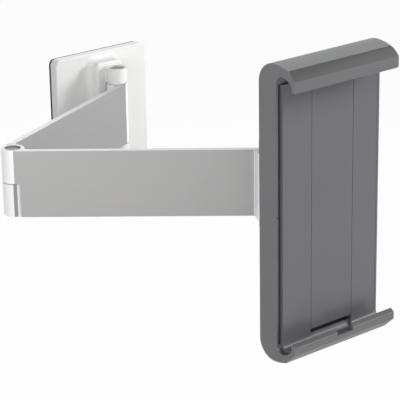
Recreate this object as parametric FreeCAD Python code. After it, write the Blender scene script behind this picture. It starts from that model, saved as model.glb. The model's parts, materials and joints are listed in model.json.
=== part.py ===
import FreeCAD, Part
import math
import os

Vec = FreeCAD.Vector

# Tablet wall mount: wall plate, two folding arms, and a holder with two sprung claws.
# Origin: middle of the backing plate's wall face. +Z is up, +Y points into the wall.

# Arms, two of the same extruded part
arm_height = 45.0
arm_length = 164.5
barrel_r = 7.6
bar_thick = 4.3
bar_end_gap = 1.4
bar_notch_r = 1.0
bar_fillet_r = 2.5
elbow_gap = 0.5

# Pose in which the mount is drawn
wall_standoff = 26.4
inner_arm_angle = 23.7
elbow_angle = 65.9

# Hinge pins, bushes and caps
pin_r = 3.0
pin_clear = 0.06
bush_wall = 1.2
bush_length = 10.0
flange_r = 6.2
flange_thick = 0.4
flange_gap = 0.1
wall_cap_r = 5.9
elbow_cap_r = 5.2
cap_seat_depth = 3.0
cap_recess = 0.9
cap_clear = 0.05
cap_edge = 0.5

# Wall plate, a hollow casting, with its black backing plate
plate_width = 82.2
plate_height = 84.8
plate_corner_r = 4.8
plate_edge_r = 1.0
backing_thick = 2.5
shell_depth = 6.6
shell_wall = 2.2
backing_inset = 0.4
boss_half_width = 11.2
boss_half_height = 36.8
boss_depth = 9.4
boss_root_r = 4.4
boss_corner_r = 3.0
boss_edge_r = 1.6
neck_half_width = 4.5
knuckle_height = 10.8
rib_gap = 0.15
rib_thick = 2.4
rib_height = 3.8
wall_hole_x = 56.0
wall_hole_z = 58.0
wall_hole_r = 2.6
lock_screw_x = 48.0
lock_screw_r = 1.5
lock_head_r = 2.7
lock_head_depth = 1.3
lock_screw_length = 9.0
lock_screw_in = 2.6
lug_width = 9.0
lug_height = 8.0
lug_thick = 4.2

# Head bracket, the fork that carries the holder
head_reach = 29.0
ear_thick = 6.0
ear_end_r = 5.4
ear_root_width = 26.0
fork_plate_width = 44.0
fork_plate_height = 58.0
fork_plate_thick = 4.0
fork_corner_r = 7.0
fork_edge = 0.6
head_pin_head_r = 4.6
head_pin_head_height = 1.8
clip_r = 5.0
clip_thick = 0.8
clip_groove = 0.5
clip_mouth = 4.8
clip_tail = 1.4
head_pin_edge = 0.6

# Turn plate and pivot bolt
turn_plate_r = 25.0
turn_plate_thick = 6.1
turn_washer_r = 18.0
turn_washer_thick = 0.75
turn_washer_gap = 0.05
pivot_r = 3.0
pivot_head_r = 6.2
pivot_head_height = 3.2
spring_washer_r = 5.6
spring_washer_thick = 1.4
nut_flats = 10.0
nut_height = 5.0
nut_edge = 0.5
pivot_tail = 1.0
plate_screw_ring = 19.0
plate_screw_r = 1.6
plate_screw_head_r = 3.2
plate_screw_head_height = 1.7
plate_screw_depth = 7.0

# Claws, both with the same legs; the upper hook is a little taller and fuller
claw_width = 88.0
claw_half_height = 96.4
lower_trim = 1.0
claw_mid_z = 2.2
leg_depth = 15.8
back_corner_r = 13.0
hook_reach = 31.8
crown_run = 14.1
crown_fall = 3.15
hook_drop = 7.9
lower_crown_run = 10.8
lower_crown_fall = 2.0
lower_hook_drop = 9.4
lip_thick = 2.7
lip_length = 15.6
lip_corner_r = 1.6
lip_nose_r = 0.8
lip_slope = 36.0
hook_wall = 6.9
arch_back_r = 4.6
arch_front_drop = 4.8
seam_chamfer = 0.4
claw_edge_r = 0.9
lip_notch_w = 13.8
lip_notch_start = 37.4
lip_notch_depth = 2.4

# Liner strips that double as the slide rails
rail_inset = 1.6
side_groove = 2.1
recess_depth = 4.2
liner_proud = 1.8
rail_gap = 0.25
centre_start = 27.8
centre_end = 63.3
strip_gap = 0.3
tongue_out = 1.6
tongue_thick = 2.0
tongue_gap = 0.25
tail_gap = 0.3
centre_tail_gap = 3.5
recess_stop = 12.6

# Tension springs and their anchor pins
spring_w = 15.0
spring_u = 5.9
spring_bore_r = 4.2
spring_r = 3.5
spring_core_r = 2.3
spring_groove = 0.5
spring_end_room = 8.0
spring_rings = 6
spring_bore_stop = 26.4
anchor_r = 1.5
anchor_depth = 10.8
anchor_gap = 0.1

# Cutting shapes run this far past a face, and places closer than the second value are the same
cut_past = 1.0
near = 0.01

# Worked out from the sizes above
half_arm = arm_height / 2
barrel_offset = 2 * barrel_r - bar_thick
bar_inner = barrel_r - bar_thick
bush_r = pin_r + bush_wall
bush_bore_r = pin_r + pin_clear
hinge_gap = flange_thick + flange_gap
plate_front = -(backing_thick + shell_depth)
boss_front = plate_front - boss_depth
knuckle_low = half_arm + hinge_gap
knuckle_top = knuckle_low + knuckle_height
clear_r = barrel_r + bar_end_gap
lip_tip = claw_half_height - lip_length
recess_end = claw_half_height - recess_stop
strip_tail = recess_end - tail_gap
centre_tail = recess_end - centre_tail_gap
spring_bore_end = claw_half_height - spring_bore_stop
spring_reach = spring_bore_end - spring_end_room


def heading(angle):
    """Unit vector in the XY plane at an angle from +X."""
    return Vec(math.cos(math.radians(angle)), math.sin(math.radians(angle)), 0)


wall_axis = Vec(0, -wall_standoff, 0)
inner_dir = heading(inner_arm_angle)
inner_side = heading(inner_arm_angle + 90)
elbow_axis = wall_axis - inner_dir * arm_length - inner_side * barrel_offset
outer_arm_angle = inner_arm_angle - elbow_angle
outer_dir = heading(outer_arm_angle)
outer_side = heading(outer_arm_angle - 90)
head_axis = elbow_axis + outer_dir * arm_length + outer_side * barrel_offset

fork_back = head_axis.y - head_reach
fork_front = fork_back - fork_plate_thick
turn_back = fork_front - turn_washer_thick - turn_washer_gap
claw_back = turn_back - turn_plate_thick
claw_left = head_axis.x - claw_width / 2
liner_front = leg_depth + liner_proud
recess_floor = leg_depth - recess_depth
lip_inner = hook_reach - lip_thick


def cylinder(radius, length, base, axis=Vec(0, 0, 1)):
    return Part.makeCylinder(radius, length, base, axis)


def upright(radius, low, high, centre):
    """Cylinder about a vertical axis through a point, between two heights."""
    return cylinder(radius, high - low, Vec(centre.x, centre.y, low))


def block(low, high):
    size = high - low
    return Part.makeBox(size.x, size.y, size.z, low)


def solid(shape):
    """The one solid of a boolean's result, with its split faces joined."""
    return shape.removeSplitter().Solids[0]


def edges_where(shape, test):
    return [edge for edge in shape.Edges if test(edge)]


def runs_along(edge, axis):
    """True for a straight edge parallel to an axis."""
    if not isinstance(edge.Curve, (Part.Line, Part.LineSegment)):
        return False
    run = edge.Vertexes[-1].Point - edge.Vertexes[0].Point
    return abs(abs(run.normalize() * axis) - 1) < 1e-6


def outline(points, place):
    """Closed wire through points. A point of two pairs is an arc: its middle, then its end."""
    edges = []
    last = points[0]
    for step in points[1:] + [points[0]]:
        if isinstance(step[0], tuple):
            middle, end = step
            edges.append(Part.Arc(place(last), place(middle), place(end)).toShape())
        else:
            end = step
            if math.dist(last, end) > 1e-6:
                edges.append(Part.makeLine(place(last), place(end)))
        last = end
    return Part.Wire(edges)


def arc_about(centre, radius, start, end):
    """Middle and end of an arc, from its centre, radius and two angles in degrees."""
    def at(angle):
        return (centre[0] + radius * math.cos(math.radians(angle)),
                centre[1] + radius * math.sin(math.radians(angle)))
    return at((start + end) / 2), at(end)


def round_plate(width, height, corner_r, back, thick):
    """Plate in the XZ plane, centred on the origin, running from its back towards -Y."""
    plate = block(Vec(-width / 2, back - thick, -height / 2), Vec(width / 2, back, height / 2))
    return plate.makeFillet(corner_r, edges_where(plate, lambda edge: runs_along(edge, Vec(0, 1, 0))))


def arm():
    """One arm with its elbow axis at the origin, its bar along +X and its knuckle below."""
    bar = block(Vec(0, bar_inner, -half_arm), Vec(arm_length, barrel_r, half_arm))
    notch = upright(clear_r, -elbow_gap / 2, half_arm, Vec(0, 0, 0))
    floor_rim = edges_where(notch, lambda edge: edge.Closed and edge.CenterOfMass.z < 0)
    bar = bar.cut(notch.makeFillet(bar_notch_r, floor_rim))
    far = Vec(arm_length, barrel_offset, 0)
    body = bar.fuse(upright(barrel_r, -half_arm, half_arm, far))
    body = body.fuse(upright(barrel_r, -half_arm, -elbow_gap / 2, Vec(0, 0, 0))).removeSplitter()
    chord = math.sqrt(barrel_r ** 2 - bar_inner ** 2)
    corners = [Vec(chord, bar_inner, 0), Vec(arm_length - chord, barrel_r, 0)]

    def inside_corner(edge):
        if not runs_along(edge, Vec(0, 0, 1)):
            return False
        point = edge.Vertexes[0].Point
        return any(math.hypot(point.x - c.x, point.y - c.y) < near for c in corners)

    body = body.makeFillet(bar_fillet_r, edges_where(body, inside_corner))
    body = body.cut(upright(bush_r, -half_arm, half_arm, far))
    body = body.cut(upright(bush_r, -half_arm, 0, Vec(0, 0, 0)))
    body = body.cut(upright(elbow_cap_r + cap_clear, -half_arm, cap_seat_depth - half_arm, Vec(0, 0, 0)))
    return solid(body)


def place_arm(shape, flipped):
    """Moves a shape from the arm's own frame to the inner arm's place or, flipped, the outer's."""
    placed = shape.copy()
    if flipped:
        placed.rotate(Vec(0, 0, 0), Vec(1, 0, 0), 180)
        placed.rotate(Vec(0, 0, 0), Vec(0, 0, 1), outer_arm_angle)
    else:
        placed.rotate(Vec(0, 0, 0), Vec(0, 0, 1), inner_arm_angle)
    placed.translate(elbow_axis)
    return placed


def flanged_bush(centre, face, inward, length, bore_r):
    """Bush in a barrel's end. Face is the barrel's end height, inward is +1 when the bush goes up."""
    sleeve = upright(bush_r, min(face, face + inward * length), max(face, face + inward * length), centre)
    outer = face - inward * flange_thick
    flange = upright(flange_r, min(face, outer), max(face, outer), centre)
    low = min(outer, face + inward * length)
    high = max(outer, face + inward * length)
    return solid(sleeve.fuse(flange).cut(upright(bore_r, low, high, centre)))


def cap(radius, centre, seat, outward):
    """Snap-in cap that sits on the floor of its counterbore, below the knuckle's end face."""
    thick = cap_seat_depth - cap_recess
    disc = upright(radius, min(seat, seat + outward * thick), max(seat, seat + outward * thick), centre)
    top = seat + outward * thick
    rim = edges_where(disc, lambda edge: abs(edge.CenterOfMass.z - top) < near)
    return solid(disc.makeChamfer(cap_edge, rim))


def add_boss(shell):
    """Adds the boss, which flares into the plate on all sides, and its two necks with the knuckles."""
    root = plate_front + shell_wall / 2
    body = shell.fuse(round_plate(2 * boss_half_width, 2 * boss_half_height, boss_corner_r,
                                  root, root - boss_front)).removeSplitter()

    def foot(edge):
        box = edge.BoundBox
        flat = abs(box.YMin - plate_front) + abs(box.YMax - plate_front) < near
        return flat and box.ZMax < boss_half_height + near

    body = body.makeFillet(boss_root_r, edges_where(body, foot))
    rim = edges_where(body, lambda edge: abs(edge.BoundBox.YMax - boss_front) < near)
    body = body.makeFillet(boss_edge_r, rim)
    for side in (1, -1):
        body = body.fuse(neck(side))
        body = body.fuse(upright(barrel_r, *sorted((side * knuckle_low, side * knuckle_top)), wall_axis))
    groove = upright(clear_r, -knuckle_low, knuckle_low, wall_axis)
    return body.cut(groove)


def neck(side):
    """Web from the boss to one knuckle, sloping down from the boss's end to the knuckle's."""
    overlap = boss_edge_r
    tip = (wall_axis.y, side * knuckle_top)
    section = [
        (boss_front + overlap, side * knuckle_low), (wall_axis.y, side * knuckle_low), tip,
        (wall_axis.y + barrel_r, side * knuckle_top),
        (boss_front + overlap, side * (boss_half_height - overlap)),
    ]
    wire = outline(section, lambda p: Vec(-neck_half_width, p[0], p[1]))
    return Part.Face(wire).extrude(Vec(2 * neck_half_width, 0, 0))


def lock_screw_places():
    height = -backing_thick - lock_screw_in
    return [Vec(side * lock_screw_x / 2, height, -plate_height / 2) for side in (-1, 1)]


def wall_plate():
    """The casting: a hollow rounded plate, open at the back, with the boss on its front."""
    shell = round_plate(plate_width, plate_height, plate_corner_r, -backing_thick, shell_depth)
    front = edges_where(shell, lambda edge: abs(edge.BoundBox.YMax - plate_front) < near)
    shell = shell.makeFillet(plate_edge_r, front)
    hollow = round_plate(plate_width - 2 * shell_wall, plate_height - 2 * shell_wall,
                         plate_corner_r - shell_wall, -backing_thick, shell_depth - shell_wall)
    body = add_boss(shell.cut(hollow))
    body = body.cut(upright(pin_r, -knuckle_top, knuckle_top, wall_axis))
    seat = knuckle_top - cap_seat_depth
    for low, high in ((seat, knuckle_top), (-knuckle_top, -seat)):
        body = body.cut(upright(wall_cap_r + cap_clear, low, high, wall_axis))
    for place in lock_screw_places():
        body = body.cut(countersunk(place, Vec(0, 0, 1), lock_screw_r, shell_wall * 2,
                                    lock_head_r, lock_head_depth))
    return solid(body)


def countersunk(place, axis, radius, length, head_r, head_height):
    """Countersunk screw or its hole: the flat of the head at a place, the shank along an axis."""
    head = Part.makeCone(head_r, radius, head_height, place, axis)
    return solid(head.fuse(cylinder(radius, length, place, axis)))


def backing_plate():
    """Flat plate on the wall, with a rib frame inside the casting and two lugs for its screws."""
    outset = 2 * backing_inset
    plate = round_plate(plate_width - outset, plate_height - outset, plate_corner_r - backing_inset,
                        0, backing_thick)
    room = 2 * (shell_wall + rib_gap)
    rib = round_plate(plate_width - room, plate_height - room, plate_corner_r - room / 2,
                      -backing_thick, rib_height)
    inner = room + 2 * rib_thick
    rib = rib.cut(round_plate(plate_width - inner, plate_height - inner, plate_corner_r - inner / 2,
                              -backing_thick, rib_height))
    body = plate.fuse(rib)
    low_edge = -plate_height / 2 + room / 2
    for place in lock_screw_places():
        body = body.fuse(block(Vec(place.x - lug_width / 2, -backing_thick - lug_thick, low_edge),
                               Vec(place.x + lug_width / 2, -backing_thick, low_edge + lug_height)))
        body = body.cut(cylinder(lock_screw_r, lock_screw_length, place, Vec(0, 0, 1)))
    for x in (-wall_hole_x / 2, wall_hole_x / 2):
        for z in (-wall_hole_z / 2, wall_hole_z / 2):
            body = body.cut(cylinder(wall_hole_r, backing_thick, Vec(x, 0, z), Vec(0, -1, 0)))
    return solid(body)


def head_bracket():
    """Fork with two ears for the hinge pin and a flat plate on which the holder turns."""
    plate = round_plate(fork_plate_width, fork_plate_height, fork_corner_r, fork_back, fork_plate_thick)
    plate.translate(Vec(head_axis.x, 0, 0))
    front = edges_where(plate, lambda edge: abs(edge.BoundBox.YMin - fork_back) < near)
    body = plate.makeChamfer(fork_edge, front)
    low = knuckle_low
    for z in (low, -low - ear_thick):
        slope = [(-ear_root_width / 2, -head_reach - fork_plate_thick / 2), (-ear_end_r, -ear_end_r),
                 (-ear_end_r, 0), ((0, ear_end_r), (ear_end_r, 0)), (ear_end_r, -ear_end_r),
                 (ear_root_width / 2, -head_reach - fork_plate_thick / 2)]
        wire = outline(slope, lambda p: Vec(head_axis.x + p[0], head_axis.y + p[1], z))
        body = body.fuse(Part.Face(wire).extrude(Vec(0, 0, ear_thick)))
    body = body.cut(upright(pin_r, -low - ear_thick, low + ear_thick, head_axis))
    pivot = Vec(head_axis.x, fork_back, 0)
    return solid(body.cut(cylinder(pivot_r + pin_clear, fork_plate_thick, pivot, Vec(0, -1, 0))))


def head_pin():
    """Pin with a flat head above the fork and a ring groove below it."""
    top = knuckle_low + ear_thick
    body = upright(pin_r, -top - clip_thick - clip_tail, top, head_axis)
    head = upright(head_pin_head_r, top, top + head_pin_head_height, head_axis)
    rim = edges_where(head, lambda edge: edge.BoundBox.ZMin > top + head_pin_head_height - near)
    body = body.fuse(head.makeChamfer(head_pin_edge, rim))
    groove = upright(pin_r * 2, -top - clip_thick, -top, head_axis)
    groove = groove.cut(upright(pin_r - clip_groove, -top - clip_thick, -top, head_axis))
    return solid(body.cut(groove))


def head_clip():
    """Open retaining ring in the pin's groove."""
    top = knuckle_low + ear_thick
    low = -top - clip_thick
    ring = upright(clip_r, low, -top, head_axis).cut(upright(pin_r - clip_groove, low, -top, head_axis))
    slot = block(Vec(head_axis.x - clip_mouth / 2, head_axis.y, low),
                 Vec(head_axis.x + clip_mouth / 2, head_axis.y + clip_r, -top))
    return solid(ring.cut(slot))


def pivot(y):
    """Point on the holder's turning axis."""
    return Vec(head_axis.x, y, 0)


def ring_on_pivot(outer_r, inner_r, back, thick):
    ring = cylinder(outer_r, thick, pivot(back), Vec(0, -1, 0))
    return solid(ring.cut(cylinder(inner_r, thick, pivot(back), Vec(0, -1, 0))))


def plate_screw_places():
    return [pivot(turn_back) + Vec(plate_screw_ring * math.cos(math.radians(angle)), 0,
                                   plate_screw_ring * math.sin(math.radians(angle)))
            for angle in (-150, -90, -30)]


def turn_plate():
    """Disc on the back of the lower claw, with the bolt's head sunk in its front face."""
    disc = cylinder(turn_plate_r, turn_plate_thick, pivot(turn_back), Vec(0, -1, 0))
    rim = edges_where(disc, lambda edge: abs(edge.BoundBox.YMin - turn_back) < near)
    body = disc.makeChamfer(plate_edge_r, rim)
    body = body.cut(pivot_bolt())
    for place in plate_screw_places():
        body = body.cut(countersunk(place, Vec(0, -1, 0), plate_screw_r, turn_plate_thick,
                                    plate_screw_head_r, plate_screw_head_height))
    return solid(body)


def pivot_bolt():
    washer_side = fork_back + spring_washer_thick + nut_height + pivot_tail
    return countersunk(pivot(claw_back), Vec(0, 1, 0), pivot_r, washer_side - claw_back,
                       pivot_head_r, pivot_head_height)


def pivot_nut():
    """Hexagon nut on the pivot bolt, behind the spring washer."""
    low = fork_back + spring_washer_thick
    corner = nut_flats / 2 / math.cos(math.radians(30))
    points = []
    for n in range(6):
        angle = math.radians(60 * n)
        points.append(pivot(low) + Vec(corner * math.cos(angle), 0, corner * math.sin(angle)))
    body = Part.Face(Part.makePolygon(points + points[:1])).extrude(Vec(0, nut_height, 0))
    dome = cylinder(corner, nut_height, pivot(low), Vec(0, 1, 0))
    rims = edges_where(dome, lambda edge: edge.Closed)
    body = body.common(dome.makeChamfer(nut_edge, rims))
    return solid(body.cut(cylinder(pivot_r, nut_height, pivot(low), Vec(0, 1, 0))))


def plate_screws():
    return Part.makeCompound([
        countersunk(place, Vec(0, -1, 0), plate_screw_r, turn_plate_thick + plate_screw_depth,
                    plate_screw_head_r, plate_screw_head_height)
        for place in plate_screw_places()])


def claw_place(side, w):
    """Maps (depth from the back, height from the middle) to space, for side +1 up or -1 down."""
    return lambda p: Vec(claw_left + w, claw_back - p[0], claw_mid_z + side * p[1])


def arc_drop(run, drop):
    """Radius of an arc that starts level and falls by a drop over a run."""
    return (run ** 2 + drop ** 2) / (2 * drop)


def falling_arc(start, run, drop):
    """Middle and end of that arc, from the point where it is level."""
    radius = arc_drop(run, drop)
    turn = math.degrees(math.asin(run / radius))
    centre = (start[0], start[1] - radius)
    return arc_about(centre, radius, 90, 90 - turn)


def claw_height(side):
    """Height of a claw's outer end above or below the seam."""
    return claw_half_height if side > 0 else claw_half_height - lower_trim


def arch(side, inset, edge_u, end_v):
    """A hook's inner arch, from the lip's face back to the leg, moved inwards by an inset."""
    apex = (leg_depth + arch_back_r, claw_height(side) - hook_wall - inset)
    run = lip_inner - apex[0]
    radius = arc_drop(run, arch_front_drop) - inset
    turn = math.degrees(math.asin((edge_u - apex[0]) / radius))
    centre = (apex[0], apex[1] - radius)
    foot = (centre[0] + radius * math.sin(math.radians(turn)),
            centre[1] + radius * math.cos(math.radians(turn)))
    front = arc_about(centre, radius, 90 - turn, 90)
    back_r = arch_back_r - inset
    back = arc_about((apex[0], apex[1] - back_r), back_r, 90, 180)
    return [(edge_u, end_v), foot, front, back]


def lip_end(side):
    """The lip's edge from front to inside: round on the upper claw, sloping to the front on the lower."""
    if side > 0:
        tip_r = lip_thick / 2
        return [(hook_reach, lip_tip + tip_r),
                arc_about((hook_reach - tip_r, lip_tip + tip_r), tip_r, 0, -180)]
    nose = arc_about((hook_reach - lip_nose_r, lip_tip + lip_nose_r), lip_nose_r, 0, lip_slope - 90)
    rise = (nose[1][0] - lip_inner) * math.tan(math.radians(lip_slope))
    return [(hook_reach, lip_tip + lip_nose_r), nose, (lip_inner, nose[1][1] - rise)]


def claw_section(side, w):
    """Face of a claw's section: leg, rounded back corner, crown, straight slope, lip and inner arch."""
    height = claw_height(side)
    corner = (back_corner_r, height - back_corner_r)
    crown = falling_arc((back_corner_r, height), crown_run, crown_fall)
    front_top = (hook_reach, height - hook_drop)
    if side < 0:
        crown = falling_arc((back_corner_r, height), lower_crown_run, lower_crown_fall)
        front_top = (hook_reach, height - lower_hook_drop)
    points = [(0, seam_chamfer), (0, corner[1]), arc_about(corner, back_corner_r, 180, 90), crown, front_top]
    points += lip_end(side)
    points += arch(side, 0, lip_inner, lip_tip)[1:]
    points += [(leg_depth, seam_chamfer), (leg_depth - seam_chamfer, 0), (seam_chamfer, 0)]
    return Part.Face(outline(points, claw_place(side, w)))


def claw(side):
    """One claw: its section drawn across the width, its front recess and its spring bores."""
    body = claw_section(side, 0).extrude(Vec(claw_width, 0, 0))

    def back_end(edge):
        box = edge.BoundBox
        return (box.XLength < near and box.ZLength > 2 * seam_chamfer
                and claw_back - box.YMax < back_corner_r + near)

    body = body.makeFillet(claw_edge_r, edges_where(body, back_end))
    recess_right = claw_left + claw_width - rail_inset
    recess = block(Vec(claw_left + rail_inset, claw_back - leg_depth, claw_mid_z),
                   Vec(recess_right, claw_back - recess_floor, claw_mid_z + recess_end))
    shapes = [recess]
    for w in (spring_w, claw_width - spring_w):
        centre = Vec(claw_left + w, claw_back - spring_u, 0)
        shapes.append(upright(spring_bore_r, claw_mid_z, claw_mid_z + spring_bore_end, centre))
        shapes.append(cylinder(anchor_r, anchor_depth, anchor_place(1, w), Vec(0, -1, 0)))
    for shape in shapes:
        if side < 0:
            shape = mirrored(shape)
        body = body.cut(shape)
    return body


def mirrored(shape):
    """Mirror image of a shape above and below the claws' seam."""
    return shape.mirror(Vec(0, 0, claw_mid_z), Vec(0, 0, 1))


def anchor_place(side, w):
    """Outer end of an anchor pin, level with the claw's back."""
    return Vec(claw_left + w, claw_back, claw_mid_z + side * (spring_reach + anchor_gap + anchor_r))


def lower_claw():
    """The claw that carries the turn plate, with a notch in its lip."""
    body = claw(-1)
    notch_left = claw_left + lip_notch_start
    notch_floor = claw_mid_z - lip_tip - lip_notch_depth
    notch = block(Vec(notch_left, claw_back - hook_reach - cut_past, notch_floor),
                  Vec(notch_left + lip_notch_w, claw_back - lip_inner + cut_past, claw_mid_z))
    body = body.cut(notch)
    for place in plate_screw_places():
        mouth = Vec(place.x, claw_back, place.z)
        body = body.cut(cylinder(plate_screw_r, plate_screw_depth, mouth, Vec(0, -1, 0)))
    return solid(body)


def upper_claw():
    """The claw that slides, with the lower corners of its lip rounded."""
    body = claw(1)
    front = claw_back - hook_reach
    for w, inwards in ((0, 1), (claw_width, -1)):
        corner = Vec(claw_left + w, front, claw_mid_z + lip_tip)
        centre = corner + Vec(inwards * lip_corner_r, 0, lip_corner_r)
        left = min(corner.x, centre.x)
        waste = block(Vec(left, front, corner.z), Vec(left + lip_corner_r, front + lip_thick, centre.z))
        body = body.cut(waste.cut(cylinder(lip_corner_r, lip_thick, centre, Vec(0, 1, 0))))
    return solid(body)


def liner(side, start, end, tail):
    """One liner strip: a rail along the legs that curves round the inside of its own hook."""
    edge = lip_end(side)[0][1]
    inner = arch(side, liner_proud, lip_inner - liner_proud, edge)
    outer = arch(side, 0, lip_inner, edge)
    back = recess_floor + rail_gap
    points = [(back, -tail), (back, -seam_chamfer), (recess_floor, 0), (recess_floor, recess_end),
              (leg_depth, recess_end), (leg_depth, outer[3][1][1])]
    points += reverse_arch(outer)
    points += inner
    points += [(liner_front, -tail)]
    strip = Part.Face(outline(points, claw_place(side, start)))
    return strip.extrude(Vec(end - start, 0, 0))


def reverse_arch(path):
    """The same arch walked the other way."""
    front_middle, apex = path[2]
    back_middle = path[3][0]
    return [(back_middle, apex), (front_middle, path[1]), path[0]]


def tongue(start, width, low, high):
    """Bar along the strips' edges, between two heights."""
    mid_u = (recess_floor + rail_gap + liner_front) / 2
    return block(Vec(claw_left + start, claw_back - mid_u - width / 2, low),
                 Vec(claw_left + start + tongue_out, claw_back - mid_u + width / 2, high))


def lower_liner(which):
    """Outer strip of the lower claw, grooved along the edge that faces the centre strip."""
    if which == "left":
        start, end = rail_inset + side_groove, centre_start - strip_gap / 2
        groove_start = end - tongue_out
    else:
        start, end = centre_end + strip_gap / 2, claw_width - rail_inset - side_groove
        groove_start = start
    body = liner(-1, start, end, strip_tail)
    groove = tongue(groove_start, tongue_thick + 2 * tongue_gap,
                    claw_mid_z - recess_end, claw_mid_z + strip_tail)
    return solid(body.cut(groove))


def upper_liner():
    """Centre strip of the upper claw, with a tongue along each edge."""
    start = centre_start + strip_gap / 2
    end = centre_end - strip_gap / 2
    body = liner(1, start, end, centre_tail)
    reach = tongue_out - strip_gap - tongue_gap
    for place in (start - reach - strip_gap, end + reach + strip_gap - tongue_out):
        body = body.fuse(tongue(place, tongue_thick, claw_mid_z - centre_tail, claw_mid_z + strip_tail))
    return solid(body)


def springs():
    """Two closely wound tension springs, drawn as ribbed sleeves between their anchor pins."""
    pitch = 2 * spring_reach / spring_rings
    found = []
    for w in (spring_w, claw_width - spring_w):
        centre = Vec(claw_left + w, claw_back - spring_u, claw_mid_z - spring_reach)
        points = [(spring_core_r, 0)]
        for ring in range(spring_rings):
            low = ring * pitch
            points += [(spring_r, low), (spring_r, low + pitch / 2)]
            points += [(spring_r - spring_groove, low + pitch / 2), (spring_r - spring_groove, low + pitch)]
        points += [(spring_core_r, 2 * spring_reach)]
        wire = outline(points, lambda p: centre + Vec(p[0], 0, p[1]))
        found.append(Part.Face(wire).revolve(centre, Vec(0, 0, 1), 360))
    return Part.makeCompound(found)


def anchor_pins(side):
    return Part.makeCompound([cylinder(anchor_r, anchor_depth, anchor_place(side, w), Vec(0, -1, 0))
                              for w in (spring_w, claw_width - spring_w)])


def elbow_sleeve():
    """Plain sleeve that holds the elbow pin in the outer arm's knuckle."""
    seat = half_arm - cap_seat_depth
    tube = upright(bush_r, elbow_gap / 2, seat, elbow_axis)
    return solid(tube.cut(upright(pin_r, elbow_gap / 2, seat, elbow_axis)))


def build():
    seat = knuckle_top - cap_seat_depth
    elbow_seat = half_arm - cap_seat_depth
    arm_shape = arm()
    return {
        "backing_plate": backing_plate(),
        "wall_plate": wall_plate(),
        "lock_screws": Part.makeCompound([
            countersunk(place, Vec(0, 0, 1), lock_screw_r, lock_screw_length, lock_head_r, lock_head_depth)
            for place in lock_screw_places()]),
        "wall_pin": upright(pin_r, -seat, seat, wall_axis),
        "wall_cap_top": cap(wall_cap_r, wall_axis, seat, 1),
        "wall_cap_bottom": cap(wall_cap_r, wall_axis, -seat, -1),
        "inner_arm": place_arm(arm_shape, False),
        "wall_bush_top": flanged_bush(wall_axis, half_arm, -1, bush_length, bush_bore_r),
        "wall_bush_bottom": flanged_bush(wall_axis, -half_arm, 1, bush_length, bush_bore_r),
        "elbow_bush": flanged_bush(elbow_axis, -elbow_gap / 2, -1, elbow_seat - elbow_gap / 2, bush_bore_r),
        "elbow_cap_bottom": cap(elbow_cap_r, elbow_axis, -elbow_seat, -1),
        "outer_arm": place_arm(arm_shape, True),
        "elbow_sleeve": elbow_sleeve(),
        "elbow_pin": upright(pin_r, flange_gap - elbow_seat, elbow_seat, elbow_axis),
        "elbow_cap_top": cap(elbow_cap_r, elbow_axis, elbow_seat, 1),
        "head_bush_top": flanged_bush(head_axis, half_arm, -1, bush_length, bush_bore_r),
        "head_bush_bottom": flanged_bush(head_axis, -half_arm, 1, bush_length, bush_bore_r),
        "head_bracket": head_bracket(),
        "head_pin": head_pin(),
        "head_clip": head_clip(),
        "turn_washer": ring_on_pivot(turn_washer_r, pivot_r + pin_clear, fork_front, turn_washer_thick),
        "turn_plate": turn_plate(),
        "pivot_bolt": pivot_bolt(),
        "spring_washer": ring_on_pivot(spring_washer_r, pivot_r, fork_back + spring_washer_thick,
                                       spring_washer_thick - turn_washer_gap),
        "pivot_nut": pivot_nut(),
        "plate_screws": plate_screws(),
        "lower_claw": lower_claw(),
        "left_strip": lower_liner("left"),
        "right_strip": lower_liner("right"),
        "lower_anchor_pins": anchor_pins(-1),
        "upper_claw": upper_claw(),
        "centre_strip": upper_liner(),
        "upper_anchor_pins": anchor_pins(1),
        "tension_springs": springs(),
    }


os.makedirs("parts", exist_ok=True)
for name, shape in build().items():
    shape.exportStep("parts/" + name + ".step")
    print(name, len(shape.Solids), shape.isValid(), round(shape.Volume, 1))
print("wall hinge", wall_axis, "elbow", elbow_axis, "head", head_axis, "claw back", claw_back)
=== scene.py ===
import bmesh
import bpy
import json
import math
from mathutils import Matrix, Vector


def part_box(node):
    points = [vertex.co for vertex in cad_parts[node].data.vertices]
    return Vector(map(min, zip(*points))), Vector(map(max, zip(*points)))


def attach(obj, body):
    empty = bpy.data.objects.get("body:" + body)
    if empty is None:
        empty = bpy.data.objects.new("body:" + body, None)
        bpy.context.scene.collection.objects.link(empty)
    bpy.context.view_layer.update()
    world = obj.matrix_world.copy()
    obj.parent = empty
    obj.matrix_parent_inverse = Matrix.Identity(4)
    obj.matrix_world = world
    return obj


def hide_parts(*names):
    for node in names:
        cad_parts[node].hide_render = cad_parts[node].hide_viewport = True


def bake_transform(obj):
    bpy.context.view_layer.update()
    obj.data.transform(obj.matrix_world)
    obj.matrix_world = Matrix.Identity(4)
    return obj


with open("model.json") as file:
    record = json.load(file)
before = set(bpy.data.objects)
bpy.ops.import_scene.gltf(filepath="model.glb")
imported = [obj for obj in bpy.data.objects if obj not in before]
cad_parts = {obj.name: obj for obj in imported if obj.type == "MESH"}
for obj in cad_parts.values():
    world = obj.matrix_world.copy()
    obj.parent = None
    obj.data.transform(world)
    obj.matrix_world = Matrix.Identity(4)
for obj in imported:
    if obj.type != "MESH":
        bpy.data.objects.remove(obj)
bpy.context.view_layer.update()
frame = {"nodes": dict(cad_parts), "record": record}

mm = 0.001
nodes = frame["nodes"]
slotOf = {part["node"]: part["material_slot"] for part in frame["record"]["subparts"]}
bodyOf = {node: body for body, held in frame["record"]["behaviour"]["bodies"].items() for node in held}
print("frame loaded:", len(nodes), "nodes")


def middle(node):
    low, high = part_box(node)
    return (Vector(low) + Vector(high)) / 2


wallAxis = middle("wall_pin")
elbowAxis = middle("elbow_pin")
headAxis = middle("head_pin")


# Small helpers for materials

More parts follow.
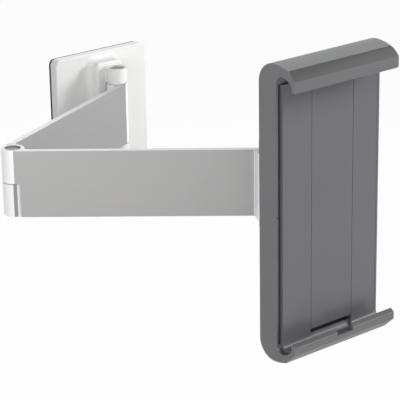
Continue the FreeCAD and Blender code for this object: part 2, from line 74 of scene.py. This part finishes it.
def linearColor(hexText):
    # sRGB hex to the linear values that the shaders want
    def channel(pair):
        value = int(pair, 16) / 255
        return value / 12.92 if value <= 0.04045 else ((value + 0.055) / 1.055) ** 2.4
    return [channel(hexText[i:i + 2]) for i in (1, 3, 5)] + [1.0]


def addNode(tree, kind, settings=None, links=None):
    # one node: settings are its properties or unlinked sockets, links are socket to source socket
    node = tree.nodes.new(kind)
    for name, value in (settings or {}).items():
        if isinstance(name, int) or name in node.inputs:
            node.inputs[name].default_value = value
        else:
            setattr(node, name, value)
    for name, source in (links or {}).items():
        tree.links.new(source, node.inputs[name])
    return node


def startMaterial(name, baseHex, roughness, metallic=0.0):
    material = bpy.data.materials.new(name)
    material.use_nodes = True
    tree = material.node_tree
    shader = tree.nodes["Principled BSDF"]
    shader.inputs["Base Color"].default_value = linearColor(baseHex)
    shader.inputs["Roughness"].default_value = roughness
    shader.inputs["Metallic"].default_value = metallic
    place = addNode(tree, "ShaderNodeTexCoord").outputs["Object"]
    return material, tree, shader, place


def grainBump(tree, shader, place, grainMm, depthMm, strength):
    # a moulded or blasted grain, its size and depth in millimetres
    noise = addNode(tree, "ShaderNodeTexNoise", {"Scale": 1 / (grainMm * mm), "Detail": 2.0},
                    {"Vector": place})
    bump = addNode(tree, "ShaderNodeBump", {"Strength": strength, "Distance": depthMm * mm},
                   {"Height": noise.outputs["Fac"]})
    tree.links.new(bump.outputs["Normal"], shader.inputs["Normal"])


def mixColors(tree, share, first, second):
    # colours may be hex texts or sockets; 6, 7 and 2 are the node's colour inputs and colour output
    blend = addNode(tree, "ShaderNodeMix", {"data_type": "RGBA"}, {0: share})
    for socket, color in ((6, first), (7, second)):
        if isinstance(color, str):
            blend.inputs[socket].default_value = linearColor(color)
        else:
            tree.links.new(color, blend.inputs[socket])
    return blend.outputs[2]


def cloudy(tree, place, darkHex, lightHex, sizeMm):
    # slow change of tone across a surface
    noise = addNode(tree, "ShaderNodeTexNoise", {"Scale": 1 / (sizeMm * mm), "Detail": 3.0},
                    {"Vector": place})
    return mixColors(tree, noise.outputs["Fac"], darkHex, lightHex)


def marked(tree, name):
    # 1 on the faces that markFaces picked, so that a finish stays with its face at every pose
    return addNode(tree, "ShaderNodeAttribute", {"attribute_name": name}).outputs["Fac"]


def markFaces(mesh, name, isMarked):
    # stores 1 or 0 on each face, by its normal
    layer = mesh.attributes.new(name, "FLOAT", "FACE")
    for face in mesh.polygons:
        layer.data[face.index].value = float(isMarked(face.normal))


# Finishes

claws = {
    "base": "#686869",
    "dark": "#656567",
    "light": "#6C6C6E",
    "slope": "#353537",    # painted shade on the steep faces above both lips
    "inside": "#424245",   # painted shade on the upward faces of the lower claw, such as the floor of its hook
    "crown": "#797A7B",    # painted light on the tops of the hooks
    "mottleMm": 22.0,
    "roughness": 0.46,
    "grainMm": 0.8,        # such a grain is usually near 0.2 mm, drawn coarser so that it shows
    "grainDepthMm": 0.05,
    "grainStrength": 0.22,
    "slopeWay": Vector((0.0, -0.66, 0.75)),
    "slopeCosine": 0.95,
    "crownRise": 0.88,
    "hookRise": 0.5,       # how far up a face of the lower claw points to get the painted shade of its hook
}


def graphiteAbs():
    # injection-moulded ABS, mid graphite: a dull sheen and a fine even grain, with painted shade on the
    # slopes of both lips and on the floor of the lower hook, and painted light on the tops of the hooks
    material, tree, shader, place = startMaterial("graphiteAbs", claws["base"], claws["roughness"])
    body = cloudy(tree, place, claws["dark"], claws["light"], claws["mottleMm"])
    skin = mixColors(tree, marked(tree, "crown"), body, claws["crown"])
    skin = mixColors(tree, marked(tree, "inside"), skin, claws["inside"])
    tree.links.new(mixColors(tree, marked(tree, "slope"), skin, claws["slope"]), shader.inputs["Base Color"])
    grainBump(tree, shader, place, claws["grainMm"], claws["grainDepthMm"], claws["grainStrength"])
    return material


strips = {
    "dark": "#616167",
    "light": "#66666C",
    "end": "#434347",      # painted shade on the upturned ends
    "mottleMm": 35.0,
    "roughness": 0.36,
    "grainMm": 0.6,
    "grainDepthMm": 0.03,
    "grainStrength": 0.16,
    "endRise": 0.55,
}


def smoothAbs():
    # graphite ABS like the claws, a little bluer and slicker, with painted shade on the upturned ends
    material, tree, shader, place = startMaterial("smoothAbs", strips["dark"], strips["roughness"])
    body = cloudy(tree, place, strips["dark"], strips["light"], strips["mottleMm"])
    skin = mixColors(tree, marked(tree, "stripEnd"), body, strips["end"])
    tree.links.new(skin, shader.inputs["Base Color"])
    grainBump(tree, shader, place, strips["grainMm"], strips["grainDepthMm"], strips["grainStrength"])
    return material


arms = {
    "flatDark": "#A4A3A3",
    "flatLight": "#AEADAC",
    "innerDark": "#959495",    # painted shade: the inner bar, the same extrusion, drawn a little darker than the outer one
    "innerLight": "#9E9D9E",
    "bright": "#F0F0F0",   # painted reflection: the barrels drawn near white
    "edge": "#CBCBCB",     # painted light: upper and lower edges drawn lighter than the flats
    "bore": "#909090",     # painted shade inside the bores and the relief groove
    "barrelRim": 7.66,     # mm from a hinge axis to where the flat face begins
    "boreRim": 7.2,
    "rimSoft": 0.05,
    "roughness": 0.4,
    "metallic": 0.2,
    "lineMm": 0.5,         # die lines are usually near 0.1 mm, drawn coarser so that they show
    "lineLengthMm": 90.0,
    "lineDepthMm": 0.02,
    "lineStrength": 0.12,
    "innerTurn": 23.7,     # degrees, the bars' directions in plan
    "outerTurn": -42.2,
    "broadCosine": 0.78,
    "edgeRise": 0.55,
}


def farFrom(tree, place, axis, rimMm):
    # 0 within a radius of an upright hinge axis, 1 beyond it
    flat = addNode(tree, "ShaderNodeMapping", {"vector_type": "POINT"}, {"Vector": place})
    flat.inputs["Location"].default_value = (-axis.x, -axis.y, 0)
    flat.inputs["Scale"].default_value = (1, 1, 0)
    away = addNode(tree, "ShaderNodeVectorMath", {"operation": "LENGTH"}, {0: flat.outputs["Vector"]})
    rim = rimMm * mm
    soft = arms["rimSoft"] * mm
    return addNode(tree, "ShaderNodeMapRange", {"From Min": rim, "From Max": rim + soft},
                   {"Value": away.outputs["Value"]}).outputs["Result"]


def beyondBoth(tree, place, near, far, rimMm):
    # 1 beyond a radius of both of a bar's hinge axes
    return addNode(tree, "ShaderNodeMath", {"operation": "MULTIPLY"},
                   {0: farFrom(tree, place, near, rimMm), 1: farFrom(tree, place, far, rimMm)}).outputs[0]


def satinAluminium(name, turn, near, far, darkHex, lightHex):
    # satin anodised extrusion: grey flats with faint die lines; painted reflection on the barrels, painted
    # light on the edges, painted shade in the bores
    material, tree, shader, place = startMaterial(name, lightHex, arms["roughness"], arms["metallic"])
    lined = addNode(tree, "ShaderNodeMapping", {"vector_type": "TEXTURE"}, {"Vector": place})
    lined.inputs["Rotation"].default_value = (0, 0, math.radians(turn))
    lined.inputs["Scale"].default_value = (arms["lineLengthMm"] * mm, arms["lineLengthMm"] * mm,
                                           arms["lineMm"] * mm)
    noise = addNode(tree, "ShaderNodeTexNoise", {"Scale": 1.0, "Detail": 2.0},
                    {"Vector": lined.outputs["Vector"]})
    flat = mixColors(tree, noise.outputs["Fac"], darkHex, lightHex)
    grey = addNode(tree, "ShaderNodeMath", {"operation": "MULTIPLY"},
                   {0: marked(tree, "broad"), 1: beyondBoth(tree, place, near, far, arms["barrelRim"])})
    # painted reflection: the barrels near white, the flat faces grey
    skin = mixColors(tree, grey.outputs[0], arms["bright"], flat)
    outside = beyondBoth(tree, place, near, far, arms["boreRim"])
    # painted shade within the bore radius
    walls = mixColors(tree, outside, arms["bore"], skin)
    # painted light on the bars' upper and lower faces
    edged = mixColors(tree, marked(tree, "barEdge"), walls, arms["edge"])
    tree.links.new(edged, shader.inputs["Base Color"])
    bump = addNode(tree, "ShaderNodeBump",
                   {"Strength": arms["lineStrength"], "Distance": arms["lineDepthMm"] * mm},
                   {"Height": noise.outputs["Fac"]})
    tree.links.new(bump.outputs["Normal"], shader.inputs["Normal"])
    return material


def plainFinish(name, baseHex, roughness, metallic, grainMm, depthMm, strength):
    # a plain part with its own grain; the callers say what it is
    material, tree, shader, place = startMaterial(name, baseHex, roughness, metallic)
    grainBump(tree, shader, place, grainMm, depthMm, strength)
    return material


finishes = {
    "claw_plastic": graphiteAbs(),
    "strip_plastic": smoothAbs(),
    # zinc die casting under pale silver powder coat: nearly white, with a faint orange peel
    "wall_casting": plainFinish("silverPowderCoat", "#E4E4E3", 0.45, 0.0, 1.6, 0.03, 0.2),
    # moulded black nylon: dull
    "backing_plastic": plainFinish("blackNylon", "#1C1C1D", 0.6, 0.0, 0.8, 0.04, 0.3),
    # snap-in caps of grey acetal: flat and dull
    "cap_plastic": plainFinish("greyAcetal", "#888888", 0.5, 0.0, 0.7, 0.02, 0.2),
    # natural nylon bearings: cream, waxy
    "bush_nylon": plainFinish("naturalNylon", "#D8D4C8", 0.5, 0.0, 1.0, 0.02, 0.2),
    # ground steel pins: bright
    "pin_steel": plainFinish("groundSteel", "#A8A8AA", 0.28, 1.0, 0.5, 0.01, 0.15),
    # zinc-plated screws: bright with a cool cast
    "screw_steel": plainFinish("zincPlate", "#B4B8BC", 0.32, 1.0, 0.6, 0.01, 0.2),
    # powder-coated die casting of the head
    "bracket_casting": plainFinish("silverCoat", "#C4C4C4", 0.45, 0.1, 1.4, 0.03, 0.25),
    # glass-filled nylon turn plate: black, dull, slightly mottled
    "turn_plate_nylon": plainFinish("filledNylon", "#232325", 0.6, 0.0, 0.5, 0.04, 0.4),
    # drawn spring wire
    "spring_steel": plainFinish("springWire", "#8E8E90", 0.3, 1.0, 0.5, 0.01, 0.1),
}
armTurn = {"inner_arm": arms["innerTurn"], "outer_arm": arms["outerTurn"]}
armFinish = {
    "inner_arm": satinAluminium("satinInnerArm", armTurn["inner_arm"], elbowAxis, wallAxis,
                                arms["innerDark"], arms["innerLight"]),
    "outer_arm": satinAluminium("satinOuterArm", armTurn["outer_arm"], elbowAxis, headAxis,
                                arms["flatDark"], arms["flatLight"]),
}
for node, slot in slotOf.items():
    nodes[node].material_slots[0].material = armFinish.get(node, finishes.get(slot))
print("finishes on:", len(slotOf), "nodes")


# Pieces

def standIn(shape, name, node, smoothDeg):
    # turns a finished bmesh into the piece that the eye sees in a node's place
    for face in shape.faces:
        face.smooth = True
    for edge in shape.edges:
        edge.smooth = len(edge.link_faces) == 2 and edge.calc_face_angle(0) < math.radians(smoothDeg)
    mesh = bpy.data.meshes.new(name)
    shape.to_mesh(mesh)
    shape.free()
    piece = bpy.data.objects.new(name, mesh)
    bpy.context.scene.collection.objects.link(piece)
    piece.data.materials.append(nodes[node].material_slots[0].material)
    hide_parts(node)
    return piece


softEdges = {
    # node: the radius that its sharp edges are eased by, in millimetres
    "upper_claw": 0.35,
    "lower_claw": 0.35,
    "left_strip": 0.3,
    "right_strip": 0.3,
    "centre_strip": 0.12,
    "wall_plate": 0.25,
    "backing_plate": 0.25,
    "inner_arm": 0.3,
    "outer_arm": 0.3,
    "head_bracket": 0.4,
    "turn_plate": 0.2,
}
easing = {
    "sharpFrom": 28.0,      # degrees between faces
    "weld": 1e-7,           # metres
    "segments": 2,
    "smoothDeg": 40.0,      # faces that meet at less are shaded as one surface
    "normalWeight": 80,
}
relief = {
    # groove along the inner arm's elbow knuckle, beside the outer bar
    "turnDeg": -121.3,      # from +X about the elbow axis
    "widthMm": 2.4,
    "depthMm": 0.7,
    "barrelMm": 7.6,        # the knuckle's radius
    "topMm": -0.2,
    "lowMm": -23.0,
}


def reliefGroove(piece):
    # cuts the groove by a bar laid along the knuckle
    cutter = bmesh.new()
    blade = bmesh.ops.create_cube(cutter, size=1.0)["verts"]
    height = (relief["topMm"] - relief["lowMm"]) * mm
    middleZ = (relief["topMm"] + relief["lowMm"]) / 2 * mm
    bmesh.ops.scale(cutter, vec=(2 * relief["depthMm"] * mm, relief["widthMm"] * mm, height), verts=blade)
    bmesh.ops.translate(cutter, vec=(relief["barrelMm"] * mm, 0, middleZ), verts=blade)
    bmesh.ops.rotate(cutter, verts=blade, cent=(0, 0, 0),
                     matrix=Matrix.Rotation(math.radians(relief["turnDeg"]), 3, "Z"))
    bmesh.ops.translate(cutter, vec=(elbowAxis.x, elbowAxis.y, 0), verts=blade)
    cutAway(piece, cutter)


def cutAway(piece, cutter):
    # subtracts a bmesh from a piece and leaves the result as the piece's plain mesh
    mesh = bpy.data.meshes.new("cutter")
    cutter.to_mesh(mesh)
    cutter.free()
    held = bpy.data.objects.new("cutter", mesh)
    bpy.context.scene.collection.objects.link(held)
    cut = piece.modifiers.new("cut", "BOOLEAN")
    cut.object = held
    cut.operation = "DIFFERENCE"
    cut.solver = "EXACT"
    cut.use_self = True      # the two blades of a cross overlap
    done = bpy.data.meshes.new_from_object(piece.evaluated_get(bpy.context.evaluated_depsgraph_get()))
    piece.modifiers.clear()
    piece.data = done
    bpy.data.objects.remove(held)


def markFinish(mesh, node):
    # the faces that get painted shade, painted light or painted reflection, and the arms' flat faces
    if slotOf[node] == "claw_plastic":
        # painted shade on the slopes above the lips
        markFaces(mesh, "slope", lambda normal: normal.dot(claws["slopeWay"]) > claws["slopeCosine"])
    if node == "upper_claw":
        # painted light on the top of the upper hook
        markFaces(mesh, "crown", lambda normal: normal.z > claws["crownRise"])
    if node == "lower_claw":
        # painted shade on the floor of the lower hook
        markFaces(mesh, "inside", lambda normal: normal.z > claws["hookRise"])
    if slotOf[node] == "strip_plastic":
        # painted shade on the strips' upturned ends
        markFaces(mesh, "stripEnd", lambda normal: normal.z > strips["endRise"])
    if node in armTurn:
        turn = math.radians(armTurn[node])
        sideways = Vector((-math.sin(turn), math.cos(turn), 0))
        markFaces(mesh, "broad", lambda normal: abs(normal.dot(sideways)) > arms["broadCosine"])
        markFaces(mesh, "barEdge", lambda normal: abs(normal.z) > arms["edgeRise"])


def easedCopy(node, radiusMm):
    # the node's own shape with its sharp edges rounded
    shape = bmesh.new()
    shape.from_mesh(nodes[node].data)
    bmesh.ops.remove_doubles(shape, verts=shape.verts, dist=easing["weld"])
    sharp = [edge for edge in shape.edges if len(edge.link_faces) == 2
             and edge.calc_face_angle(0) > math.radians(easing["sharpFrom"])]
    bmesh.ops.bevel(shape, geom=sharp, offset=radiusMm * mm, offset_type="OFFSET", affect="EDGES",
                    segments=easing["segments"], profile=0.5, material=-1, clamp_overlap=True)
    piece = standIn(shape, node + "_eased", node, easing["smoothDeg"])
    if node == "inner_arm":
        reliefGroove(piece)
    markFinish(piece.data, node)
    weighted = piece.modifiers.new("weighted", "WEIGHTED_NORMAL")
    weighted.keep_sharp = True
    weighted.weight = easing["normalWeight"]
    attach(piece, bodyOf[node])


for node, radiusMm in softEdges.items():
    easedCopy(node, radiusMm)
print("eased edges on:", len(softEdges), "pieces")


spring = {
    # radii in millimetres
    "wireR": 0.55,
    "coilR": 2.95,
    "pitchMm": 1.13,
    "turnSteps": 14,
    "wireSides": 6,
    "hookR": 2.15,
    "hookSteps": 20,
    "smoothDeg": 70.0,
}


def wireRing(shape, centre):
    # closed ring of wire round an anchor pin
    section = bmesh.ops.create_circle(shape, segments=spring["wireSides"],
                                      radius=spring["wireR"] * mm)["verts"]
    bmesh.ops.translate(shape, verts=section, vec=centre + Vector((spring["hookR"] * mm, 0, 0)))
    edges = list({edge for vert in section for edge in vert.link_edges})
    bmesh.ops.spin(shape, geom=section + edges, cent=centre, axis=(0, 1, 0), angle=math.tau,
                   steps=spring["hookSteps"], use_merge=True)


def woundWire(foot, height):
    # closely wound helix as a bevelled curve, handed back as a mesh
    wire = bpy.data.curves.new("woundWire", "CURVE")
    wire.dimensions = "3D"
    wire.bevel_depth = spring["wireR"] * mm
    wire.bevel_resolution = 1
    wire.use_fill_caps = True
    turns = height / (spring["pitchMm"] * mm)
    count = round(turns * spring["turnSteps"])
    line = wire.splines.new("POLY")
    line.points.add(count)
    for n, point in enumerate(line.points):
        angle = math.tau * n / spring["turnSteps"]
        offset = Vector((math.cos(angle), math.sin(angle), 0)) * spring["coilR"] * mm
        offset.z = height * n / count
        point.co = (*(foot + offset), 1.0)
    held = bpy.data.objects.new("woundWire", wire)
    bpy.context.scene.collection.objects.link(held)
    mesh = bpy.data.meshes.new_from_object(held.evaluated_get(bpy.context.evaluated_depsgraph_get()))
    bpy.data.objects.remove(held)
    return mesh


def tensionSprings():
    # two closely wound springs, each with a separate ring round the anchor pin at either end
    shape = bmesh.new()
    low, high = (Vector(corner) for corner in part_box("tension_springs"))
    inset = (high.y - low.y) / 2
    for x in (low.x + inset, high.x - inset):
        foot = Vector((x, (low.y + high.y) / 2, low.z + spring["wireR"] * mm))
        shape.from_mesh(woundWire(foot, high.z - low.z - 2 * spring["wireR"] * mm))
        for pins in ("lower_anchor_pins", "upper_anchor_pins"):
            wireRing(shape, Vector((x, foot.y, middle(pins).z)))
    bmesh.ops.recalc_face_normals(shape, faces=shape.faces)
    piece = standIn(shape, "tension_springs_wound", "tension_springs", spring["smoothDeg"])
    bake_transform(piece)
    print("springs wound:", len(piece.data.polygons), "faces")


tensionSprings()


recess = {
    "bladeMm": 2.6,
    "widthMm": 0.7,
    "depthMm": 0.8,
    "smoothDeg": 30.0,
}


def crossedScrews():
    # the lock screws with a cross recess in each flat head
    low, high = (Vector(corner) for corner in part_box("lock_screws"))
    headR = (high.y - low.y) / 2
    size = (recess["bladeMm"] * mm, recess["widthMm"] * mm, 2 * recess["depthMm"] * mm)
    cutter = bmesh.new()
    for x in (low.x + headR, high.x - headR):
        for turn in (0, 90):
            blade = bmesh.ops.create_cube(cutter, size=1.0)["verts"]
            bmesh.ops.scale(cutter, vec=size, verts=blade)
            bmesh.ops.rotate(cutter, verts=blade, cent=(0, 0, 0),
                             matrix=Matrix.Rotation(math.radians(turn), 3, "Z"))
            bmesh.ops.translate(cutter, verts=blade, vec=(x, (low.y + high.y) / 2, low.z))
    shape = bmesh.new()
    shape.from_mesh(nodes["lock_screws"].data)
    bmesh.ops.remove_doubles(shape, verts=shape.verts, dist=easing["weld"])
    piece = standIn(shape, "lock_screws_crossed", "lock_screws", recess["smoothDeg"])
    cutAway(piece, cutter)
    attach(piece, "wall")
    print("screws crossed:", len(piece.data.polygons), "faces")


crossedScrews()

# Camera, from the photograph's perspective

cameraPlace = {
    "location": (-0.7980, -1.0522, 0.3845),
    "yaw": -40.473,
    "pitch": -19.244,
    "roll": -0.95,
    "lens": 167.14,
    "sensor": 36.0,
}
camera = bpy.data.objects.new("camera", bpy.data.cameras.new("camera"))
bpy.context.scene.collection.objects.link(camera)
camera.data.lens = cameraPlace["lens"]
camera.data.sensor_width = cameraPlace["sensor"]
turn = (Matrix.Rotation(math.radians(cameraPlace["yaw"]), 4, "Z")
        @ Matrix.Rotation(math.radians(90 + cameraPlace["pitch"]), 4, "X")
        @ Matrix.Rotation(math.radians(cameraPlace["roll"]), 4, "Z"))
camera.matrix_world = Matrix.Translation(cameraPlace["location"]) @ turn
bpy.context.scene.camera = camera

# Floor, world and lamps

studio = {
    "floorZ": -0.5,
    "floorSize": 8.0,
    "floor": "#F4F4F4",
    "floorRoughness": 0.9,
    "floorGlow": 0.96,
    "worldLight": 0.14,
    "background": 1.0,
}
lamps = {
    # name: (place, size in metres, power in watts, what it points at)
    "overhead": ((-0.1, 0.3, 1.4), 1.0, 3.0, (-0.05, -0.15, 0.0)),
    "key": ((1.35, -0.95, 0.65), 0.6, 24.0, (0.0, -0.15, 0.0)),
    "frontHigh": ((0.1, -1.2, 1.5), 0.7, 6.0, (-0.05, -0.25, 0.0)),
    "elbowSide": ((-0.52, -0.34, 0.12), 0.25, 0.9, (-0.1, -0.17, 0.0)),
    "frontLeft": ((-1.15, -1.35, 0.4), 1.0, 7.0, (-0.05, -0.2, 0.0)),
    "rear": ((0.5, 1.4, 0.5), 1.2, 5.0, (0.0, 0.0, 0.0)),
}


def seenDirectly(tree):
    # 1 for rays that show the backdrop: from the camera, in a reflection or through glass
    path = addNode(tree, "ShaderNodeLightPath")
    seen = addNode(tree, "ShaderNodeMath", {"operation": "MAXIMUM"},
                   {0: path.outputs["Is Camera Ray"], 1: path.outputs["Is Glossy Ray"]})
    return addNode(tree, "ShaderNodeMath", {"operation": "MAXIMUM"},
                   {0: seen.outputs[0], 1: path.outputs["Is Transmission Ray"]}).outputs[0]


def makeFloor():
    shape = bmesh.new()
    bmesh.ops.create_grid(shape, x_segments=1, y_segments=1, size=studio["floorSize"] / 2)
    bmesh.ops.translate(shape, verts=shape.verts, vec=(0, 0, studio["floorZ"]))
    mesh = bpy.data.meshes.new("floor")
    shape.to_mesh(mesh)
    shape.free()
    floor = bpy.data.objects.new("floor", mesh)
    bpy.context.scene.collection.objects.link(floor)
    # matt white paper that stays white to the camera and keeps part of its shadow
    material, tree, shader, place = startMaterial("whitePaper", studio["floor"], studio["floorRoughness"])
    share = addNode(tree, "ShaderNodeMath", {"operation": "MULTIPLY", 1: studio["floorGlow"]},
                    {0: seenDirectly(tree)})
    glow = addNode(tree, "ShaderNodeEmission", {"Color": (1, 1, 1, 1), "Strength": studio["background"]})
    mix = addNode(tree, "ShaderNodeMixShader", {},
                  {0: share.outputs[0], 1: shader.outputs[0], 2: glow.outputs[0]})
    tree.links.new(mix.outputs[0], tree.nodes["Material Output"].inputs["Surface"])
    mesh.materials.append(material)


def makeWorld():
    world = bpy.data.worlds.new("studio")
    bpy.context.scene.world = world
    world.use_nodes = True
    tree = world.node_tree
    light = tree.nodes["Background"]
    light.inputs["Color"].default_value = (1, 1, 1, 1)
    light.inputs["Strength"].default_value = studio["worldLight"]
    white = addNode(tree, "ShaderNodeBackground", {"Color": (1, 1, 1, 1), "Strength": studio["background"]})
    mix = addNode(tree, "ShaderNodeMixShader", {},
                  {0: seenDirectly(tree), 1: light.outputs[0], 2: white.outputs[0]})
    tree.links.new(mix.outputs[0], tree.nodes["World Output"].inputs["Surface"])


def makeLamp(name, place, size, power, aim):
    lamp = bpy.data.lights.new(name, "AREA")
    lamp.shape = "DISK"
    lamp.size = size
    lamp.energy = power
    holder = bpy.data.objects.new(name, lamp)
    bpy.context.scene.collection.objects.link(holder)
    holder.visible_camera = False
    toward = (Vector(aim) - Vector(place)).to_track_quat("-Z", "Y")
    holder.matrix_world = Matrix.Translation(place) @ toward.to_matrix().to_4x4()


makeFloor()
makeWorld()
for name, (place, size, power, aim) in lamps.items():
    makeLamp(name, place, size, power, aim)
bpy.context.scene.view_settings.view_transform = "Standard"
print("studio ready")
